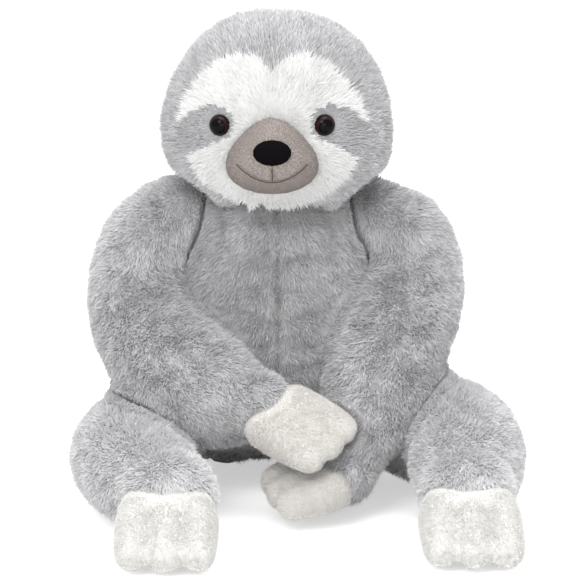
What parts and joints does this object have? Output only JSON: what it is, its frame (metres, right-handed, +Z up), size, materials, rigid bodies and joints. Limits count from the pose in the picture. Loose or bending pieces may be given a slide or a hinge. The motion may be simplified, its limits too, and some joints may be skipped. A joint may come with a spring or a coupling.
{
  "type": "plush sloth",
  "caption": "Seated long-pile plush sloth whose head turns and tips back and whose arms, paw, legs and feet swing on sewn ball joints.",
  "frame": {"origin": "middle of the flat seat, on the floor", "axes": "+Z up, the toy faces -Y, +X is the toy's left"},
  "size_m": [0.6508, 0.6928, 0.6999],
  "materials": {
    "grey_fur": "long pile plush",
    "white_fur": "long pile plush",
    "white_velvet": "short pile velvet",
    "taupe_velvet": "short pile velvet",
    "black_flock": "flocked",
    "eye_plastic": "gloss",
    "washer_plastic": "matte",
    "dark_thread": "embroidery thread",
    "fibre": "loose fibre"
  },
  "bodies": {
    "torso": {"right_chest_panel": "grey_fur", "left_chest_panel": "grey_fur", "right_back_panel": "grey_fur", "left_back_panel": "grey_fur", "seat_panel": "grey_fur", "torso_stuffing": "fibre"},
    "neck": {"neck_stuffing": "fibre"},
    "head": {"right_head_panel": "grey_fur", "left_head_panel": "grey_fur", "face_panel": "white_fur", "right_eye_patch": "grey_fur", "left_eye_patch": "grey_fur", "head_stuffing": "fibre", "muzzle_panel": "taupe_velvet", "muzzle_stuffing": "fibre", "nose": "black_flock", "mouth_stitch": "dark_thread", "lip_stitch": "dark_thread", "right_eye": "eye_plastic", "left_eye": "eye_plastic", "right_eye_washer": "washer_plastic", "left_eye_washer": "washer_plastic"},
    "left_arm": {"left_arm_outer_panel": "grey_fur", "left_arm_inner_panel": "grey_fur", "left_arm_stuffing": "fibre", "left_shoulder_stuffing": "fibre", "left_paw_top": "white_velvet", "left_paw_palm": "white_velvet", "left_paw_stuffing": "fibre"},
    "right_shoulder_ball": {"right_shoulder_stuffing": "fibre"},
    "right_arm": {"right_arm_outer_panel": "grey_fur", "right_arm_inner_panel": "grey_fur", "right_arm_stuffing": "fibre"},
    "right_paw": {"right_paw_top": "white_velvet", "right_paw_palm": "white_velvet", "right_paw_stuffing": "fibre"},
    "right_leg": {"right_leg_upper_panel": "grey_fur", "right_leg_lower_panel": "grey_fur", "right_leg_stuffing": "fibre"},
    "left_leg": {"left_leg_upper_panel": "grey_fur", "left_leg_lower_panel": "grey_fur", "left_leg_stuffing": "fibre"},
    "right_foot": {"right_foot_top": "white_velvet", "right_foot_sole": "white_velvet", "right_foot_stuffing": "fibre"},
    "left_foot": {"left_foot_top": "white_velvet", "left_foot_sole": "white_velvet", "left_foot_stuffing": "fibre"}
  },
  "joints": [
    {"name": "head_turn", "type": "hinge", "parent": "torso", "child": "neck", "pos_m": [0, 0, 0.36], "axis": [0, 0, 1], "range_deg": [-25, 25]},
    {"name": "head_tilt", "type": "hinge", "parent": "neck", "child": "head", "pos_m": [0, 0, 0.36], "axis": [-1, 0, 0], "range_deg": [0, 9]},
    {"name": "left_shoulder", "type": "hinge", "parent": "torso", "child": "left_arm", "pos_m": [0.15, 0.01, 0.38], "axis": [-1, 0, 0], "range_deg": [0, 30]},
    {"name": "right_shoulder_carry", "type": "hinge", "parent": "torso", "child": "right_shoulder_ball", "pos_m": [-0.15, 0.01, 0.38], "axis": [-1, 0, 0], "range_deg": [0, 30]},
    {"name": "right_shoulder", "type": "hinge", "parent": "right_shoulder_ball", "child": "right_arm", "pos_m": [-0.15, 0.01, 0.38], "axis": [-1, 0, 0], "range_deg": [0, 15]},
    {"name": "right_wrist", "type": "hinge", "parent": "right_arm", "child": "right_paw", "pos_m": [-0.028, -0.238, 0.16], "axis": [-0.6494, -0.6038, -0.4622], "range_deg": [0, 30]},
    {"name": "right_hip", "type": "hinge", "parent": "torso", "child": "right_leg", "pos_m": [-0.125, 0.02, 0.092], "axis": [0, 0, -1], "range_deg": [0, 20]},
    {"name": "left_hip", "type": "hinge", "parent": "torso", "child": "left_leg", "pos_m": [0.125, 0.02, 0.092], "axis": [0, 0, 1], "range_deg": [0, 20]},
    {"name": "right_ankle", "type": "hinge", "parent": "right_leg", "child": "right_foot", "pos_m": [-0.146, -0.385, 0.069], "axis": [-1, 0, 0], "range_deg": [0, 25]},
    {"name": "left_ankle", "type": "hinge", "parent": "left_leg", "child": "left_foot", "pos_m": [0.254, -0.37, 0.069], "axis": [-1, 0, 0], "range_deg": [0, 25]}
  ],
  "couplings": [
    {"joint": "right_shoulder_carry", "follows": "left_shoulder", "ratio": 1}
  ]
}
